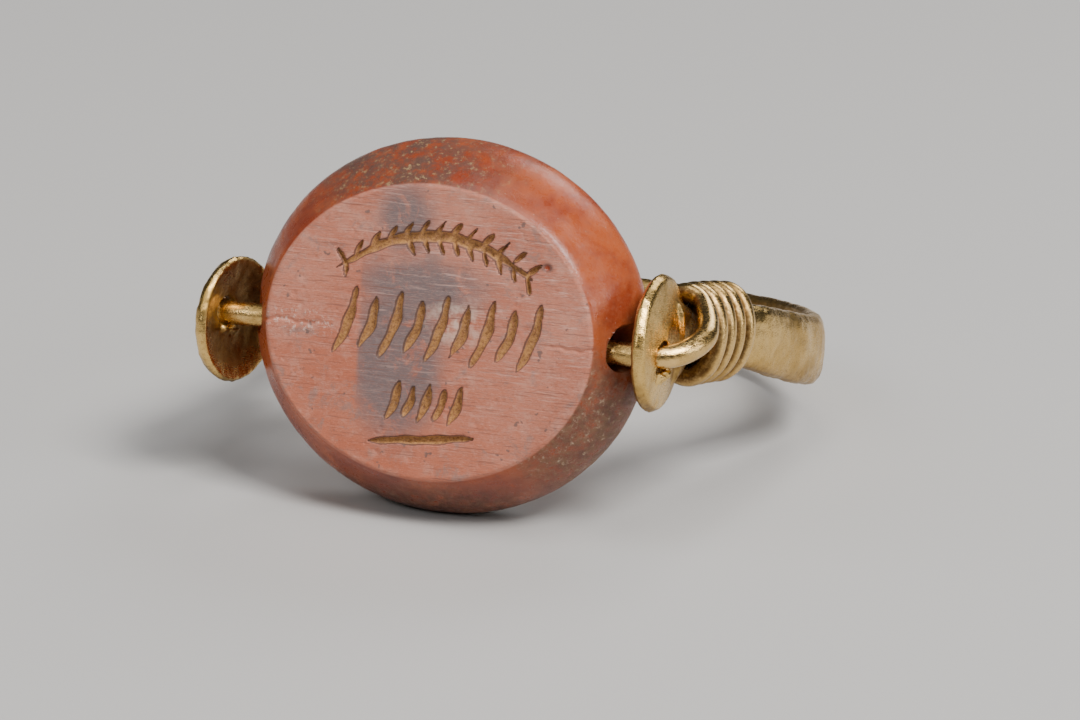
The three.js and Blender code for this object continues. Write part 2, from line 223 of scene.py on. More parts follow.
def lerp(start, end, share):
    """From start, where share is 0, to end, where it is 1."""
    return start + (end - start) * share


# Meshes.

def make_object(name, points, faces):
    """A smooth-shaded mesh object whose place is in its vertices."""
    mesh = bpy.data.meshes.new(name)
    mesh.from_pydata([tuple(p) for p in points], [], faces)
    mesh.validate()
    made = bpy.data.objects.new(name, mesh)
    bpy.context.collection.objects.link(made)
    mesh.polygons.foreach_set("use_smooth", [True] * len(mesh.polygons))
    return made


def mesh_points(made):
    flat = np.zeros(len(made.data.vertices) * 3)
    made.data.vertices.foreach_get("co", flat)
    return flat.reshape(-1, 3)


def set_points(made, points):
    made.data.vertices.foreach_set("co", np.asarray(points, float).ravel())
    made.data.update()


def mesh_normals(made):
    flat = np.zeros(len(made.data.vertices) * 3, np.float32)
    made.data.vertex_normals.foreach_get("vector", flat)
    return flat.reshape(-1, 3).astype(float)


def add_attribute(made, name, values):
    layer = made.data.attributes.new(name, "FLOAT", "POINT")
    layer.data.foreach_set("value", np.asarray(values, np.float32))


def noise_values(points, scale, octaves=3):
    """Fractal noise, about -1 to 1, at each point."""
    return np.array([noise.fractal(Vector(p) * scale, 1.0, 2.0, octaves) for p in points])


def apply_modifier(made, kind, **settings):
    modifier = made.modifiers.new("work", kind)
    for name, value in settings.items():
        setattr(modifier, name, value)
    bpy.context.view_layer.objects.active = made
    bpy.ops.object.modifier_apply(modifier=modifier.name)


def tube_faces(rings, sides):
    """The sides between rings of vertices, and a cap at each end."""
    faces = []
    for ring in range(rings - 1):
        for side in range(sides):
            here = ring * sides + side
            beside = ring * sides + (side + 1) % sides
            faces.append((here, beside, beside + sides, here + sides))
    faces.append(tuple(range(sides))[::-1])
    faces.append(tuple((rings - 1) * sides + side for side in range(sides)))
    return faces


def tube(path, radii, sides):
    """A round wire along a path, and for each vertex the direction from the wire's middle."""
    ahead = np.gradient(path, axis=0)
    ahead /= np.linalg.norm(ahead, axis=1)[:, None]
    across = np.zeros_like(path)
    across[0] = np.cross(ahead[0], [0, 0, 1])
    for step in range(1, len(path)):
        across[step] = across[step - 1] - ahead[step] * (across[step - 1] @ ahead[step])
        across[step] /= np.linalg.norm(across[step])
    across[0] /= np.linalg.norm(across[0])
    upright = np.cross(ahead, across)
    turn = np.linspace(0, 2 * math.pi, sides, endpoint=False)
    away = across[:, None] * np.cos(turn)[None, :, None] + upright[:, None] * np.sin(turn)[None, :, None]
    points = path[:, None] + away * np.asarray(radii)[:, None, None]
    return points.reshape(-1, 3), tube_faces(len(path), sides), away.reshape(-1, 3)


# The engraving: each stroke is a path on the face, with a width.

def palm_stem(place):
    """A point of the palm's curved stem, from -1 at its left end to 1 at its right end."""
    return (PALM_MIDDLE + PALM_SPAN * place, PALM_HEIGHT + PALM_RISE * (1 - place * place))


def palm_leaves(count, first, side, lean):
    """Leaves along the stem on its upper side (1) or its lower side (-1), fanned out by their place."""
    leaves = []
    for leaf in range(count):
        place = lerp(first, LAST_LEAF, leaf / (count - 1))
        x, y = palm_stem(place)
        angle = math.radians(side * lean - LEAF_FAN * place)
        tip = (x + LEAF_LENGTH * math.cos(angle), y + LEAF_LENGTH * math.sin(angle))
        leaves.append(([(x, y), tip], LEAF_WIDTH))
    return leaves


def stroke_row(count, centre, half_length, height, length, width):
    """Slanting strokes side by side, longer and shorter by turns, each slightly bent."""
    bend = 0.06 * length
    row = []
    for index in range(count):
        x = centre + lerp(-half_length, half_length, index / (count - 1))
        half = length / 2 * (SHORT_STROKE_SHARE if index % 2 else 1)
        run = half * math.cos(STROKE_SLANT)
        rise = half * math.sin(STROKE_SLANT)
        path = [(x - run, height - rise), (x + bend, height), (x + run, height + rise)]
        row.append((path, width))
    return row


def strokes():
    """The palm with its flared left end, the two rows and the base stroke below them."""
    stem = [palm_stem(place) for place in (-1.08, -0.5, 0, 0.5, 1)]
    end_x, end_y = palm_stem(-1)
    flare = [(end_x - 0.35, end_y + 0.5), (end_x, end_y - 0.05), (end_x + 0.05, end_y - 0.55)]
    base = [(x, BASE_HEIGHT + BASE_SLOPE * x) for x in (-BASE_HALF_LENGTH, 0, BASE_HALF_LENGTH)]
    return [
        (stem, STEM_WIDTH),
        (flare, STEM_WIDTH / 2),
        *palm_leaves(UPPER_LEAVES, FIRST_UPPER_LEAF, 1, UPPER_LEAF_LEAN),
        *palm_leaves(LOWER_LEAVES, FIRST_LOWER_LEAF, -1, LOWER_LEAF_LEAN),
        *stroke_row(ROW_STROKES, ROW_MIDDLE, ROW_HALF_LENGTH, ROW_HEIGHT,
                    ROW_STROKE_LENGTH, ROW_STROKE_WIDTH),
        *stroke_row(LOW_STROKES, 0, LOW_HALF_LENGTH, LOW_HEIGHT,
                    LOW_STROKE_LENGTH, LOW_STROKE_WIDTH),
        (base, LOW_STROKE_WIDTH),
    ]


def along_path(x, y, path):
    """For each place its distance from a path, and how far along the path its nearest point is."""
    gap = np.full(len(x), np.inf)
    share = np.zeros(len(x))
    for index in range(len(path) - 1):
        start = path[index]
        run = path[index + 1] - start
        place = ((x - start[0]) * run[0] + (y - start[1]) * run[1]) / (run @ run)
        place = np.clip(place, 0, 1)
        far = np.hypot(x - start[0] - run[0] * place, y - start[1] - run[1] * place)
        closer = far < gap
        gap[closer] = far[closer]
        share[closer] = (index + place[closer]) / (len(path) - 1)
    return gap, share


def cut_share(x, y):
    """How deep the engraving is at each place of the face, from 0 to 1, with ragged stroke edges."""
    path_samples = 14
    narrowest = 0.12
    least_half_width = 0.02
    wobble = 0.022
    ragged = wobble * (np.sin(x * 5.3 + 2.1 * y) + np.sin(y * 7.1 - 3.3 * x))
    deepest = np.zeros(len(x))
    for points, width in strokes():
        path = catmull(points, path_samples)
        low = path.min(axis=0) - width
        high = path.max(axis=0) + width
        near = np.nonzero((x > low[0]) & (x < high[0]) & (y > low[1]) & (y < high[1]))[0]
        gap, share = along_path(x[near], y[near], path)
        swell = narrowest + (1 - narrowest) * np.sin(math.pi * share) ** 0.6
        half = np.maximum(width / 2 * swell + ragged[near], least_half_width)
        depth = swell ** 0.5 * (1 - smooth(gap / half, 0.5, 1.1))
        deepest[near] = np.maximum(deepest[near], depth)
    return deepest


# The stone.

def face_surface(x, y):
    """Depth of the worn face: engraving, the old fracture and crack, pits, a chip and a softened edge."""
    sunk = FILLED_DEPTH * cut_share(x, y)
    fracture_line = y - FRACTURE_HEIGHT - 0.05 * np.sin(4 * x) - 0.03 * np.sin(11 * x)
    left_end = 1 - smooth(x, -4.6, -3.7)
    right_end = smooth(x, 4.4, 5.2)
    fracture = np.exp(-(fracture_line / FRACTURE_HALF_WIDTH) ** 2) * (left_end + right_end)
    sunk += FRACTURE_DEPTH * fracture
    draw = np.random.default_rng(11)
    for _ in range(PITS):
        across = draw.uniform(-6.2, 6.2)
        up = draw.uniform(-5.2, 5.4)
        size = draw.uniform(0.04, 0.11)
        sunk += PIT_DEPTH * np.exp(-((x - across) ** 2 + (y - up) ** 2) / size ** 2)
    from_chip = np.hypot(x - CHIP[0], y - CHIP[1])
    sunk += CHIP_DEPTH * np.exp(-(from_chip / CHIP_RADIUS) ** 2)
    edge = np.hypot(x / FACE_HALF_LENGTH, (y - STONE_LIFT) / FACE_HALF_HEIGHT)
    sunk += EDGE_WEAR * smooth(edge, 0.98, 1) ** 2
    return FACE_DEPTH - sunk


def side_and_back_rings():
    """For each ring below the face how far it has grown to the girdle, how it narrows, and its depth."""
    rings = []
    for step in range(1, SIDE_RINGS + 1):
        share = step / SIDE_RINGS
        rings.append((math.sin(share * math.pi / 2), 1, lerp(FACE_DEPTH, GIRDLE_DEPTH, share)))
    for step in range(1, BACK_RINGS):
        turn = math.pi / 2 * step / BACK_RINGS
        rings.append((1, math.cos(turn), GIRDLE_DEPTH - BACK_DOME * math.sin(turn)))
    return rings


def stone_points():
    """The face as a grid mapped onto its oval, then rings down the side and over the back."""
    steps = np.linspace(-1, 1, FACE_CELLS + 1)
    a, b = np.meshgrid(steps, steps)
    x = FACE_HALF_LENGTH * a * np.sqrt(1 - b ** 2 / 2)
    y = FACE_HALF_HEIGHT * b * np.sqrt(1 - a ** 2 / 2) + STONE_LIFT
    x, y = x.ravel(), y.ravel()
    points = [np.stack([x, y, face_surface(x, y)], axis=1)]
    width = FACE_CELLS + 1
    row = np.arange(FACE_CELLS)
    loop = np.concatenate([row, row * width + FACE_CELLS, FACE_CELLS * width + FACE_CELLS - row,
                           (FACE_CELLS - row) * width])
    faces = []
    for up in range(FACE_CELLS):
        for across in range(FACE_CELLS):
            corner = up * width + across
            faces.append((corner, corner + 1, corner + width + 1, corner + width))
    angle = np.arctan2((y[loop] - STONE_LIFT) / FACE_HALF_HEIGHT, x[loop] / FACE_HALF_LENGTH)
    before = loop
    first = len(x)
    for grow, narrow, depth in side_and_back_rings():
        length = lerp(FACE_HALF_LENGTH, GIRDLE_HALF_LENGTH, grow) * narrow
        height = lerp(FACE_HALF_HEIGHT, GIRDLE_HALF_HEIGHT, grow) * narrow
        lift = STONE_LIFT * narrow
        points.append(np.stack([length * np.cos(angle), height * np.sin(angle) + lift,
                                np.full(len(angle), depth)], axis=1))
        here = np.arange(first, first + len(angle))
        for index in range(len(angle)):
            after = (index + 1) % len(angle)
            faces.append((before[index], here[index], here[after], before[after]))
        before = here
        first += len(angle)
    points.append(np.array([[0, 0, GIRDLE_DEPTH - BACK_DOME]]))
    for index in range(len(angle)):
        faces.append((before[index], first, before[(index + 1) % len(angle)]))
    return np.vstack(points), [tuple(int(corner) for corner in face) for face in faces]


def hole_cutter():
    """The drilled hole, wider and slightly ragged at both mouths."""
    sides = 48
    reach = GIRDLE_HALF_LENGTH + MOUTH_DEPTH
    inside = GIRDLE_HALF_LENGTH - MOUTH_DEPTH
    outer_radius = MOUTH_RADIUS + 0.1
    stations = [
        (-reach, outer_radius, MOUTH_RISE),
        (-GIRDLE_HALF_LENGTH, MOUTH_RADIUS, MOUTH_RISE),
        (-inside, HOLE_RADIUS, 0),
        (inside, HOLE_RADIUS, 0),
        (GIRDLE_HALF_LENGTH, MOUTH_RADIUS, MOUTH_RISE),
        (reach, outer_radius, MOUTH_RISE),
    ]
    points = []
    for x, radius, rise in stations:
        for side in range(sides):
            angle = 2 * math.pi * side / sides
            ragged = radius * (1 + 0.02 * math.sin(3 * angle + x) + 0.015 * math.sin(7 * angle))
            points.append((x, rise + ragged * math.cos(angle), ragged * math.sin(angle)))
    return make_object("hole_cutter", points, tube_faces(len(stations), sides))


def wear_side(stone, places):
    """The side and back slightly uneven, and never beyond the first form. The face stays as it is."""
    off_face = 1 - smooth(places[:, 2], FACE_DEPTH - 0.5, FACE_DEPTH - 0.32)
    worn = 0.02 * (noise_values(places, 0.5, 3) - 0.6) + 0.008 * noise_values(places, 3.0, 2)
    set_points(stone, places + mesh_normals(stone) * (off_face * np.minimum(worn, 0))[:, None])


def build_stone():
    points, faces = stone_points()
    stone = make_object("ring_stone", points, faces)
    cutter = hole_cutter()
    apply_modifier(stone, "BOOLEAN", operation="DIFFERENCE", object=cutter, solver="EXACT")
    bpy.data.objects.remove(cutter)
    places = mesh_points(stone)
    wear_side(stone, places)
    on_face = places[:, 2] > FACE_DEPTH - WORN_LAYER
    cut = np.zeros(len(places))
    cut[on_face] = cut_share(places[on_face, 0], places[on_face, 1])
    add_attribute(stone, "cut", cut)
    stone.data.transform(STONE_FRAME)
    return stone


# The hoop, from the frame's own solid, made fine and slightly uneven as hand work is.

def under_winding(back, end):
    """1 on the stretch of a leg that its winding covers, fading past both ends of it."""
    last = end["end"] + 0.1
    return smooth(back, end["start"] - 0.6, end["start"]) * smooth(back, last + 0.8, last)


def hoop_hollows_and_shade(places, normals):
    """How far the gold is darkened, from 0 to 1: tarnish in the dishes, under the windings and round the
    roots of the legs, and painted shade on the band's inner and lower sides and where it faces down."""
    x, back, across = places.T
    from_wire = np.hypot(back, across)
    facing_stone = smooth(-normals[:, 0] * np.sign(x), 0.2, 0.7)
    dish = facing_stone * smooth(from_wire, 2.7, 1.6) * smooth(back, 3.4, 2.8)
    under = np.where(x > 0, under_winding(back, RIGHT_END), under_winding(back, LEFT_END))
    inward = np.stack([HOOP_RIGHTWARD - x, LEG_LENGTH - back], axis=1)
    inward /= np.maximum(np.linalg.norm(inward, axis=1), 1e-6)[:, None]
    inner = smooth((normals[:, :2] * inward).sum(axis=1), 0.3, 0.8) * smooth(back, 3.0, 5.0)
    facing_down = smooth(-normals[:, 2], 0.3, 0.9)
    low_edge = smooth(across, -0.5, -1.7) * smooth(back, 6, 8)
    root = smooth(from_wire, 3.3, 2.6) * smooth(np.abs(x), 8.5, 8.9) * smooth(back, 0.8, 1.8)
    hollows = [0.6 * dish, 0.9 * under, 0.55 * inner, 0.75 * facing_down, 0.65 * low_edge, 0.7 * root]
    return np.clip(np.maximum.reduce(hollows), 0, 1)


def closed_on_wire(places, normals):
    """The discs' holes drawn close round the wire, with a ragged burr below it."""
    at_disc = smooth(np.abs(places[:, 0]), GIRDLE_HALF_LENGTH, GIRDLE_HALF_LENGTH + 0.1)
    from_wire = np.hypot(places[:, 1], places[:, 2])
    near = smooth(from_wire, 1.5, HOLE_RADIUS) * at_disc
    closing = 0.15
    drawn = places.copy()
    drawn[:, 1:] *= (1 - closing * near / np.maximum(from_wire, 0.5))[:, None]
    below = smooth(-places[:, 2] / np.maximum(from_wire, 0.1), 0.35, 0.9)
    ragged = 0.5 + noise_values(places, 4.5, 2)
    burr_height = 0.3
    burr = burr_height * below * smooth(from_wire, 1.2, 0.85) * at_disc * np.clip(ragged, 0, 1.4)
    drawn[:, 0] += burr * np.sign(normals[:, 0]) * smooth(np.abs(normals[:, 0]), 0.1, 0.6)
    return drawn


def build_hoop():
    """The hoop's solid made finer, softly smoothed, slightly hammered and drawn close on the wire."""
    source = frame["nodes"]["hoop"]
    hoop = bpy.data.objects.new("ring_hoop", source.data.copy())
    bpy.context.collection.objects.link(hoop)
    hoop.data.materials.clear()
    hoop.data.transform(HOOP_FRAME.inverted())
    apply_modifier(hoop, "REMESH", mode="VOXEL", voxel_size=0.09, use_smooth_shade=True)
    apply_modifier(hoop, "SMOOTH", factor=0.5, iterations=3)
    places = mesh_points(hoop)
    normals = mesh_normals(hoop)
    highest = 0.004
    hammered = 0.05 * (noise_values(places, 0.6, 2) - 0.5) + 0.02 * noise_values(places, 1.9, 2)
    set_points(hoop, places + normals * np.minimum(hammered, highest)[:, None])
    set_points(hoop, closed_on_wire(mesh_points(hoop), normals))
    # Tarnish in the hollows, and painted shade on the band's inner, lower and downward-facing sides.
    add_attribute(hoop, "hollow_and_shade", hoop_hollows_and_shade(places, normals))
    hoop.data.transform(HOOP_FRAME)
    hoop.data.polygons.foreach_set("use_smooth", [True] * len(hoop.data.polygons))
    return hoop


# The wire.

def leg_points(end):
    """The middle line of one leg, from its root at the disc to the arc."""
    arc_side = HOOP_HALF_WIDTH + end["side"] * HOOP_RIGHTWARD
    root_out = end["plane"] + ROOT_OUT
    outs = (root_out, lerp(root_out, end["leg_out"], 0.5), end["leg_out"],
            lerp(end["leg_out"], arc_side, 0.3), lerp(end["leg_out"], arc_side, 0.75))
    backs = (end["root"], lerp(end["root"], end["start"], 0.5), end["start"], end["end"],
             lerp(end["end"], LEG_LENGTH, 0.5))
    rises = (end["disc_rise"], lerp(end["disc_rise"], end["leg_rise"], 0.5), end["leg_rise"],
             end["leg_rise"], lerp(end["leg_rise"], -HOOP_ARC_DROP, 0.5))
    return [(end["side"] * out, back, rise) for out, back, rise in zip(outs, backs, rises)]


def hoop_middle_line():
    """The hoop's middle line, from the right disc round the back to the left one."""
    points = leg_points(RIGHT_END)
    for angle in (5, 30, 60, 90, 120, 150, 175):
        sine = math.sin(math.radians(angle))
        x = HOOP_HALF_WIDTH * math.cos(math.radians(angle)) + HOOP_RIGHTWARD - HOOP_BACK_LEFTWARD * sine
        points.append((x, LEG_LENGTH + HOOP_ARC_DEPTH * sine, -HOOP_ARC_DROP))
    points += leg_points(LEFT_END)[::-1]
    return catmull(points, LINE_SAMPLES)


def winding(end, line):
    """Points of the turns round one leg."""
    from_disc = line if end["side"] > 0 else line[::-1]
    half = from_disc[:len(line) // 2]
    count = round(end["turns"] * POINTS_PER_TURN)
    across = (end["neck_thickness"] + end["wound"]) / 2 + WINDING_GAP
    upward = (end["neck_width"] + end["wound"]) / 2 + WINDING_GAP
    points = []
    for step in range(count + 1):
        back = lerp(end["start"], end["end"], step / count)
        centre_x = np.interp(back, half[:, 1], half[:, 0])
        centre_z = np.interp(back, half[:, 1], half[:, 2])
        angle = math.radians(end["angle"] + 360 / POINTS_PER_TURN * step)
        points.append((centre_x + end["side"] * across * math.cos(angle), back,
                       centre_z + upward * math.sin(angle)))
    return points


def wire_end(end, line):
    """One half of the wire: out of the stone, through a disc, in a strand beside the leg and round it."""
    out = end["plane"] + DISC_RIM + DISC_CONE + STRAND_BEND
    turns = winding(end, line)
    side = end["side"]
    return [
        (side * end["plane"] * 0.3, 0, 0),
        (side * end["plane"] * 0.85, 0, 0),
        (side * (end["plane"] + DISC_RIM), 0, 0),
        (side * out, STRAND_BEND, 0.4 * STRAND_BEND),
        (side * (out + STRAND_BEND), 0.53 * turns[0][1], 0.42 * turns[0][2]),
        *turns,
    ]


def wire_radii(path):
    """The wire's radius at each point: thinner where it is wound, slightly uneven, with rounded tips."""
    rightward = path[:, 0] > 0
    thin = np.where(rightward, RIGHT_END["wound"], LEFT_END["wound"])
    start = np.where(rightward, RIGHT_END["start"], LEFT_END["start"])
    radii = lerp(WIRE_DIAMETER, thin, smooth(path[:, 1], WIRE_DIAMETER, start)) / 2
    wound = smooth(path[:, 1], start, start + 3.5)
    radii *= lerp(1.06, 0.9, wound) * (1 + 0.03 * noise_values(path, 1.1, 2))
    index = np.arange(len(path))
    from_tip = np.minimum(index, index[::-1])
    tip_share = 0.55
    return radii * lerp(tip_share, 1, smooth(from_tip, -1, 6))


def build_wire():
    line = hoop_middle_line()
    path = catmull(wire_end(LEFT_END, line)[::-1] + wire_end(RIGHT_END, line), LINE_SAMPLES)
    sides = 24
    points, faces, away = tube(path, wire_radii(path), sides)
    wire = make_object("ring_wire", points, faces)
    # Darker in the grooves between the turns, and painted shade on the wire's underside, away from the stone.
    between_turns = smooth(np.abs(away[:, 1]), 0.5, 0.92)
    facing_down = 0.6 * smooth(-away[:, 2], 0.3, 0.9)
    behind_disc = smooth(points[:, 1], 1.5, 3.0)
    add_attribute(wire, "hollow_and_shade", behind_disc * np.maximum(between_turns, facing_down))
    wire.data.transform(HOOP_FRAME)
    return wire


# Colours, in linear light.

FACE_RED = (0.47, 0.14, 0.078)
FACE_SALMON = (0.55, 0.20, 0.125)
FACE_DEEP_RED = (0.46, 0.115, 0.05)
FACE_PALE = (0.64, 0.34, 0.26)
FACE_GREY = (0.25, 0.17, 0.15)
GRIT_DARK = (0.20, 0.07, 0.045)
GRIT_PALE = (0.80, 0.47, 0.38)
BAND_MAUVE = (0.15, 0.115, 0.115)
PATCH_CREAM = (0.72, 0.58, 0.47)
FRACTURE_PALE = (0.76, 0.58, 0.50)
SCRATCH_PALE = (0.82, 0.50, 0.42)
SCRATCH_DARK = (0.19, 0.07, 0.048)
SPOT_DARK = (0.12, 0.085, 0.075)
SIDE_RED_BROWN = (0.24, 0.034, 0.009)
SIDE_ORANGE_RED = (0.38, 0.078, 0.02)
SIDE_MOTTLE = (0.13, 0.024, 0.01)
SIDE_BROWN = (0.10, 0.03, 0.014)
SIDE_FILM = (0.40, 0.15, 0.08)
# Painted shade on the lower side.
SIDE_SHADE = (0.07, 0.02, 0.009)
SIDE_SPECK = (0.55, 0.42, 0.33)
STAIN_BLACK = (0.085, 0.06, 0.048)
STAIN_OCHRE = (0.40, 0.27, 0.13)
CRUST_BROWN = (0.20, 0.115, 0.06)
CRUST_TAN = (0.56, 0.41, 0.29)
STROKE_EDGE = (0.10, 0.045, 0.028)
DEPOSIT_BROWN = (0.20, 0.085, 0.03)
DEPOSIT_OCHRE = (0.56, 0.275, 0.09)
DEPOSIT_PALE = (0.66, 0.40, 0.20)
DARK_SPECK = (0.08, 0.045, 0.035)
HOOP_GOLD = (0.84, 0.56, 0.20)
HOOP_GOLD_DEEP = (0.58, 0.36, 0.10)
WIRE_GOLD = (0.83, 0.55, 0.21)
WIRE_GOLD_DEEP = (0.56, 0.35, 0.11)
GOLD_DULL = (0.26, 0.13, 0.04)
GOLD_BROWNED = (0.36, 0.22, 0.07)
# Tarnish in the gold's hollows, and painted shade on its inner, lower and downward-facing sides.
GOLD_GRIME_AND_SHADE = (0.10, 0.045, 0.014)
FLOOR_GREY = (0.5, 0.49, 0.48)
STUDIO_GREY = (0.55, 0.56, 0.58)
WARM_WHITE = (1, 0.98, 0.95)
COOL_WHITE = (0.95, 0.97, 1)


# Materials.

def add_node(tree, kind, inputs=None, **settings):
    made = tree.nodes.new(kind)
    for name, value in settings.items():
        setattr(made, name, value)
    for name, value in (inputs or {}).items():
        if isinstance(value, bpy.types.NodeSocket):
            tree.links.new(value, made.inputs[name])
        else:
            made.inputs[name].default_value = value
    return made


def own_place(tree, matrix):
    """Object coordinates turned into a piece's own frame, in millimetres."""
    where = add_node(tree, "ShaderNodeTexCoord").outputs["Object"]
    settings = {"Vector": where, "Location": matrix.to_translation(), "Rotation": matrix.to_euler(),
                "Scale": (MM, MM, MM)}
    return add_node(tree, "ShaderNodeMapping", settings, vector_type="TEXTURE").outputs["Vector"]


def stretched(tree, place, scale, turn=0.0):
    settings = {"Vector": place, "Scale": scale, "Rotation": (0, 0, math.radians(turn))}
    return add_node(tree, "ShaderNodeMapping", settings).outputs["Vector"]


def grain(tree, place, scale, detail=4.0, roughness=0.55, distortion=0.0):
    settings = {"Vector": place, "Scale": scale, "Detail": detail, "Roughness": roughness,
                "Distortion": distortion}
    return add_node(tree, "ShaderNodeTexNoise", settings).outputs["Fac"]


def step_up(tree, value, low, high, to_low=0.0, to_high=1.0):
    settings = {"Value": value, "From Min": low, "From Max": high, "To Min": to_low, "To Max": to_high}
    return add_node(tree, "ShaderNodeMapRange", settings, interpolation_type="SMOOTHSTEP").outputs["Result"]


def maths(tree, operation, first, second):
    made = add_node(tree, "ShaderNodeMath", operation=operation)
    for socket, value in zip(made.inputs, (first, second)):
        if isinstance(value, bpy.types.NodeSocket):
            tree.links.new(value, socket)
        else:
            socket.default_value = value
    return made.outputs[0]


def times(tree, first, second):
    return maths(tree, "MULTIPLY", first, second)


def plus(tree, first, second):
    return maths(tree, "ADD", first, second)


def larger(tree, first, second):
    return maths(tree, "MAXIMUM", first, second)


def mixed(tree, share, first, second):
    """Colour first where share is 0, second where it is 1."""
    made = add_node(tree, "ShaderNodeMix", data_type="RGBA")
    for socket, value in ((made.inputs[0], share), (made.inputs[6], first), (made.inputs[7], second)):
        if isinstance(value, bpy.types.NodeSocket):
            tree.links.new(value, socket)
        else:
            socket.default_value = (*value, 1) if isinstance(value, tuple) else value
    return made.outputs[2]


def blob(tree, place, centre, size, soft=0.5):
    """1 inside an oval about a place on the stone, falling to 0 outside it."""
    x, y = centre
    settings = {"Vector": place, "Location": (-x / size[0], -y / size[1], 0),
                "Scale": (1 / size[0], 1 / size[1], 0)}
    scaled = add_node(tree, "ShaderNodeMapping", settings).outputs["Vector"]
    distance = add_node(tree, "ShaderNodeVectorMath", {0: scaled}, operation="LENGTH").outputs["Value"]
    return step_up(tree, distance, 1 + soft, 1 - soft)


def new_material(name):
    material = bpy.data.materials.new(name)
    material.use_nodes = True
    return material, material.node_tree, material.node_tree.nodes["Principled BSDF"]


def add_bump(tree, shader, height, strength, distance):
    """Fine relief from a height texture, its distance in millimetres."""
    settings = {"Height": height, "Strength": strength, "Distance": distance * MM}
    bump = add_node(tree, "ShaderNodeBump", settings)
    tree.links.new(bump.outputs["Normal"], shader.inputs["Normal"])


def stone_grains(tree, place):
    """The textures that more than one layer of the stone reads."""
    return {
        "clouds": grain(tree, place, 0.35, 5, 0.6, 0.6),
        "mottle": grain(tree, place, 1.9, 6, 0.65),
        "specks": grain(tree, place, 9.0, 3, 0.7),
        "grit": grain(tree, stretched(tree, place, (1, 2.4, 1)), 8.0, 6, 0.85),
        "crumbs": grain(tree, place, 7.0, 7, 0.85),
    }


def matt_face(tree, place, grains):
    """Salmon, redder at the lower left, with pale mottling, grey blotches and grit."""
    mottle, grit = grains["mottle"], grains["grit"]
    face = mixed(tree, step_up(tree, grains["clouds"], 0.35, 0.65), FACE_RED, FACE_SALMON)
    low_left = blob(tree, place, (-2.5, -5), (7.5, 5.5), 0.8)
    face = mixed(tree, times(tree, low_left, 0.6), face, FACE_DEEP_RED)
    face = mixed(tree, step_up(tree, mottle, 0.45, 0.72, 0, 0.4), face, FACE_PALE)
    greyed = grain(tree, place, 1.1, 6, 0.75, 0.5)
    face = mixed(tree, step_up(tree, greyed, 0.53, 0.66, 0, 0.6), face, FACE_GREY)
    face = mixed(tree, step_up(tree, grit, 0.5, 0.3, 0, 0.6), face, GRIT_DARK)
    return mixed(tree, step_up(tree, grit, 0.55, 0.75, 0, 0.6), face, GRIT_PALE)


def grey_band(tree, place, across, grit):
    """Where the grey mauve band lies, left of the middle, with a sharp left edge."""
    band = larger(tree, blob(tree, place, (-1.2, -0.9), (1.8, 3.0), 0.35),
                  blob(tree, place, (-0.4, 1.9), (2.5, 1.0), 0.5))
    band = larger(tree, band, blob(tree, place, (-1.1, 4.4), (1.1, 1.3), 0.6))
    band = times(tree, band, step_up(tree, across, -2.85, -2.65))
    band = times(tree, band, step_up(tree, grain(tree, place, 0.9, 6, 0.75, 0.6), 0.3, 0.48))
    return times(tree, band, step_up(tree, grit, 0.75, 0.45, 0.55, 0.95))


def pale_scratches(tree, place, across, upward):
    """Fine scratches, nearly level, thickest towards the upper right."""
    fine = grain(tree, stretched(tree, place, (0.8, 11, 1), 5), 2.6, 6, 0.8)
    coarse = grain(tree, stretched(tree, place, (0.35, 5, 1), -7), 1.7, 4, 0.7)
    rightward = times(tree, step_up(tree, across, -6, 4, 0.35, 1.0), step_up(tree, upward, -5, 3, 0.3, 1.0))
    return larger(tree, times(tree, step_up(tree, fine, 0.52, 0.64), rightward),
                  times(tree, step_up(tree, coarse, 0.56, 0.66), rightward))


def marked_face(tree, place, grains, band, scratches):
    """The matt face with its band, a pale patch beside it, the pale old fracture, scratches and spots."""
    face = mixed(tree, band, matt_face(tree, place, grains), BAND_MAUVE)
    patch = times(tree, blob(tree, place, (1.1, 0.7), (1.1, 0.8), 0.7),
                  step_up(tree, grains["mottle"], 0.4, 0.62))
    face = mixed(tree, times(tree, patch, 0.55), face, PATCH_CREAM)
    fracture = times(tree, blob(tree, place, (-5.3, FRACTURE_HEIGHT), (1.5, 0.45), 0.7),
                     step_up(tree, grain(tree, place, 4.5, 5, 0.8), 0.52, 0.62))
    face = mixed(tree, times(tree, fracture, 0.7), face, FRACTURE_PALE)
    face = mixed(tree, times(tree, scratches, 0.5), face, SCRATCH_PALE)
    dark_lines = grain(tree, stretched(tree, place, (0.5, 14, 1), -3), 1.3, 3, 0.6)
    face = mixed(tree, step_up(tree, dark_lines, 0.57, 0.66, 0, 0.65), face, SCRATCH_DARK)
    spots = step_up(tree, grain(tree, place, 2.6, 2, 0.5), 0.69, 0.73)
    spots = larger(tree, spots, blob(tree, place, CHIP, (0.24, 0.17), 0.4))
    return mixed(tree, times(tree, spots, 0.75), face, SPOT_DARK)


def encrustation(tree, place):
    """Where crust clings: on the lower right of the side and along the bottom."""
    where = larger(tree, blob(tree, place, (6.4, -3.4), (2.4, 3.0), 0.5),
                   blob(tree, place, (1.5, -7.0), (6, 1.1), 0.6))
    return times(tree, where, step_up(tree, grain(tree, place, 2.6, 9, 0.85), 0.44, 0.58))


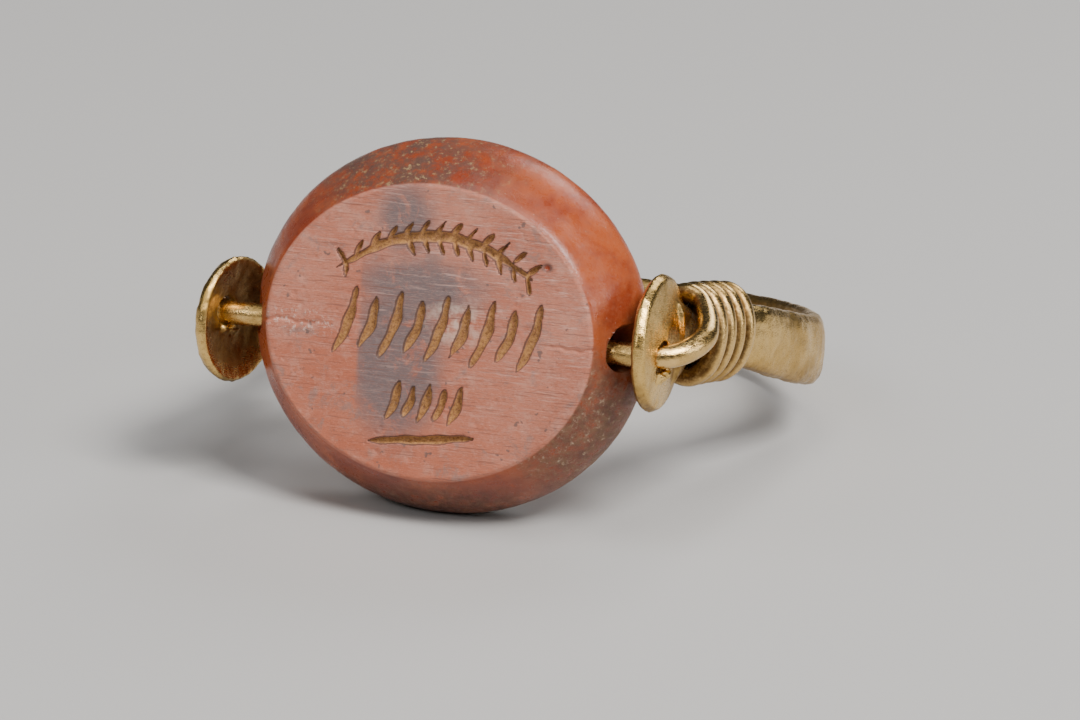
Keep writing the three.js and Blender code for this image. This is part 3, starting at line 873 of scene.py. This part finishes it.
def polished_side(tree, place, upward, grains, crust):
    """Orange red to brown red, with an old black and ochre stain on top, crust, a pale film, a brown patch
    low on the right and painted shade towards the bottom.
    """
    mottle = grains["mottle"]
    side = mixed(tree, step_up(tree, grains["clouds"], 0.38, 0.62), SIDE_RED_BROWN, SIDE_ORANGE_RED)
    side = mixed(tree, step_up(tree, mottle, 0.55, 0.72, 0, 0.5), side, SIDE_MOTTLE)
    stain = times(tree, blob(tree, place, (-2.2, 6.4), (4.2, 2.0), 0.7),
                  step_up(tree, grain(tree, place, 1.1, 8, 0.8), 0.36, 0.58))
    side = mixed(tree, times(tree, stain, 0.85), side, STAIN_BLACK)
    ochre = times(tree, stain, step_up(tree, grain(tree, place, 4.0, 5, 0.8), 0.56, 0.62))
    side = mixed(tree, times(tree, ochre, 0.8), side, STAIN_OCHRE)
    browned = times(tree, blob(tree, place, (7.0, -3.4), (2.8, 3.6), 0.7),
                    step_up(tree, mottle, 0.3, 0.65, 0.4, 0.9))
    side = mixed(tree, browned, side, SIDE_BROWN)
    side = mixed(tree, times(tree, crust, 0.75), side, CRUST_BROWN)
    flecks = times(tree, crust, step_up(tree, grain(tree, place, 3.6, 9, 0.85), 0.53, 0.6))
    side = mixed(tree, times(tree, flecks, 0.8), side, CRUST_TAN)
    film = times(tree, blob(tree, place, (7.2, 2.6), (2.4, 3.4), 0.7),
                 step_up(tree, grain(tree, place, 4.5, 8, 0.85), 0.42, 0.66))
    side = mixed(tree, times(tree, film, 0.25), side, SIDE_FILM)
    # Painted shade: the side darker towards the bottom, unevenly.
    painted_shade_below = times(tree, step_up(tree, upward, -4.5, -7.0), step_up(tree, mottle, 0.3, 0.6, 0.4, 0.9))
    side = mixed(tree, painted_shade_below, side, SIDE_SHADE)
    pale_specks = step_up(tree, grain(tree, place, 5.5, 5, 0.75), 0.66, 0.72)
    return mixed(tree, times(tree, pale_specks, 0.7), side, SIDE_SPECK)


def ochre_deposit(tree, crumbs):
    """The colour of what fills the strokes."""
    deposit = mixed(tree, step_up(tree, crumbs, 0.36, 0.6), DEPOSIT_BROWN, DEPOSIT_OCHRE)
    return mixed(tree, step_up(tree, crumbs, 0.6, 0.75), deposit, DEPOSIT_PALE)


def stone_material():
    """Worn red jasper: a matt engraved face, a polished side and back, and ochre in the strokes."""
    material, tree, shader = new_material("worn_red_jasper")
    place = own_place(tree, STONE_FRAME)
    axes = add_node(tree, "ShaderNodeSeparateXYZ", {"Vector": place}).outputs
    across, upward, depth = axes["X"], axes["Y"], axes["Z"]
    grains = stone_grains(tree, place)
    specks = grains["specks"]
    cut = add_node(tree, "ShaderNodeAttribute", attribute_name="cut").outputs["Fac"]
    on_face = larger(tree, step_up(tree, depth, FACE_DEPTH - 0.11, FACE_DEPTH - 0.04),
                     step_up(tree, cut, 0.0, 0.03))
    band = grey_band(tree, place, across, grains["grit"])
    scratches = pale_scratches(tree, place, across, upward)
    crust = encrustation(tree, place)

    face = marked_face(tree, place, grains, band, scratches)
    side = polished_side(tree, place, upward, grains, crust)
    colour = mixed(tree, on_face, side, face)
    stroke_edge = times(tree, step_up(tree, cut, 0.0, 0.08), step_up(tree, cut, 0.55, 0.3))
    colour = mixed(tree, times(tree, stroke_edge, 0.85), colour, STROKE_EDGE)
    fill = times(tree, step_up(tree, cut, 0.3, 0.6), step_up(tree, specks, 0.3, 0.5, 0.55, 1))
    colour = mixed(tree, fill, colour, ochre_deposit(tree, grains["crumbs"]))
    dark_specks = step_up(tree, specks, 0.71, 0.76)
    colour = mixed(tree, times(tree, dark_specks, 0.5), colour, DARK_SPECK)
    tree.links.new(colour, shader.inputs["Base Color"])

    rough = plus(tree, step_up(tree, on_face, 0, 1, 0.28, 0.42),
                 step_up(tree, grains["mottle"], 0.3, 0.7, -0.05, 0.1))
    rough = plus(tree, rough, times(tree, larger(tree, crust, fill), 0.35))
    tree.links.new(rough, shader.inputs["Roughness"])
    shader.inputs["Specular IOR Level"].default_value = 0.45
    shader.inputs["Sheen Weight"].default_value = 0.03
    shader.inputs["Sheen Roughness"].default_value = 0.5

    height = plus(tree, times(tree, times(tree, scratches, on_face), -0.6),
                  times(tree, times(tree, crust, specks), 0.9))
    height = plus(tree, height, times(tree, specks, 0.3))
    height = plus(tree, height, times(tree, times(tree, grains["grit"], on_face), 0.7))
    height = plus(tree, height, times(tree, times(tree, grains["crumbs"], fill), 1.2))
    add_bump(tree, shader, height, 0.6, 0.05)
    return material


def gold_material(name, light, deep, gloss):
    """Hand-worked gold: soft polish marks, patches of duller skin, brown tarnish in the hollows, and painted
    shade on the inner, lower and downward-facing sides.
    """
    material, tree, shader = new_material(name)
    place = own_place(tree, HOOP_FRAME)
    patches = grain(tree, place, 0.5, 5, 0.6, 0.4)
    fine = grain(tree, place, 6.0, 6, 0.7)
    marks = grain(tree, stretched(tree, place, (2.2, 2.2, 9)), 2.5, 5, 0.7)
    blotches = grain(tree, place, 1.6, 7, 0.8, 0.3)
    dents = grain(tree, place, 1.7, 3, 0.5)
    hollow_and_shade = add_node(tree, "ShaderNodeAttribute", attribute_name="hollow_and_shade").outputs["Fac"]
    # Tarnish in the hollows and painted shade on the inner, lower and downward-facing sides, broken by fine
    # grain.
    grime_and_shade = times(tree, hollow_and_shade, step_up(tree, fine, 0.25, 0.6, 0.5, 1))

    colour = mixed(tree, step_up(tree, patches, 0.36, 0.66), light, deep)
    colour = mixed(tree, step_up(tree, fine, 0.54, 0.72, 0, 0.65), colour, GOLD_DULL)
    colour = mixed(tree, step_up(tree, blotches, 0.55, 0.7, 0, 0.6), colour, GOLD_BROWNED)
    colour = mixed(tree, times(tree, grime_and_shade, 0.95), colour, GOLD_GRIME_AND_SHADE)
    tree.links.new(colour, shader.inputs["Base Color"])

    shader.inputs["Metallic"].default_value = 1
    rough = plus(tree, step_up(tree, patches, 0.3, 0.7, 0.36 - gloss, 0.5 - gloss),
                 step_up(tree, marks, 0.4, 0.7, -0.04, 0.12))
    rough = plus(tree, rough, times(tree, grime_and_shade, 0.2))
    tree.links.new(rough, shader.inputs["Roughness"])

    height = plus(tree, times(tree, marks, 0.5), times(tree, fine, 0.22))
    height = plus(tree, height, times(tree, dents, 1.6))
    add_bump(tree, shader, height, 0.5, 0.04)
    return material


def floor_material():
    material, _, shader = new_material("pale_floor")
    shader.inputs["Base Color"].default_value = (*FLOOR_GREY, 1)
    shader.inputs["Roughness"].default_value = 0.6
    return material


# The pieces.

def keep_inside(piece):
    """No vertex beyond the CAD's own box."""
    low, high = (np.array(corner) for corner in cad_box)
    set_points(piece, np.clip(mesh_points(piece), low, high))


def dress(piece, material, body, node):
    """Give a piece its material, and let it ride on a body in place of that body's node."""
    keep_inside(piece)
    piece.data.materials.clear()
    piece.data.materials.append(material)
    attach(piece, body)
    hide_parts(node)


# The floor, the lights and the camera.

def build_floor():
    reach = 1.2
    corners = [(-reach, -reach, 0), (reach, -reach, 0), (reach, reach, 0), (-reach, reach, 0)]
    floor = make_object("floor", corners, [(0, 1, 2, 3)])
    floor.data.materials.append(floor_material())


def from_ring(azimuth, elevation):
    """The direction from the ring to a light or camera, by angles in radians from the front and the floor."""
    return Vector((math.sin(azimuth) * math.cos(elevation), -math.cos(azimuth) * math.cos(elevation),
                   math.sin(elevation)))


def soft_light(name, azimuth, elevation, distance, size, power, colour=(1, 1, 1)):
    """A square light aimed at the ring: angles in degrees, lengths in metres, power in watts."""
    light = bpy.data.lights.new(name, "AREA")
    light.shape = "SQUARE"
    light.size = size
    light.energy = power
    light.color = colour
    made = bpy.data.objects.new(name, light)
    away = from_ring(math.radians(azimuth), math.radians(elevation))
    made.location = Vector((0, 0, WIRE_MIDDLE.z)) + away * distance
    made.rotation_mode = "QUATERNION"
    made.rotation_quaternion = away.to_track_quat("Z", "Y")
    bpy.context.collection.objects.link(made)


def build_lights():
    soft_light("key", 58, 52, 0.5, 0.17, 3.1, WARM_WHITE)
    soft_light("sheen", -12, 34, 0.55, 0.15, 0.55)
    soft_light("side", 86, 20, 0.5, 0.16, 0.45)
    soft_light("fill", -60, 38, 0.55, 0.3, 0.45, COOL_WHITE)
    soft_light("top", 10, 80, 0.5, 0.25, 0.75)
    soft_light("back", 165, 42, 0.55, 0.25, 0.9)
    world = bpy.data.worlds.new("studio")
    world.use_nodes = True
    background = world.node_tree.nodes["Background"]
    background.inputs["Color"].default_value = (*STUDIO_GREY, 1)
    background.inputs["Strength"].default_value = 0.1
    bpy.context.scene.world = world


def build_camera():
    camera = bpy.data.objects.new("camera", bpy.data.cameras.new("camera"))
    bpy.context.collection.objects.link(camera)
    away = from_ring(CAMERA_AZIMUTH, CAMERA_ELEVATION)
    camera.location = CAMERA_AIM + away * CAMERA_DISTANCE
    turn = away.to_track_quat("Z", "Y").to_matrix() @ Matrix.Rotation(CAMERA_ROLL, 3, "Z")
    camera.rotation_mode = "QUATERNION"
    camera.rotation_quaternion = turn.to_quaternion()
    camera.data.lens = CAMERA_LENS
    camera.data.sensor_width = 36
    camera.data.clip_start = 0.01
    camera.data.clip_end = 10
    bpy.context.scene.camera = camera


dress(build_stone(), stone_material(), "stone", "stone")
dress(build_hoop(), gold_material("pale_gold_hoop", HOOP_GOLD, HOOP_GOLD_DEEP, 0.18),
      "mounting", "hoop")
dress(build_wire(), gold_material("pale_gold_wire", WIRE_GOLD, WIRE_GOLD_DEEP, 0.2),
      "mounting", "wire")
build_floor()
build_lights()
build_camera()
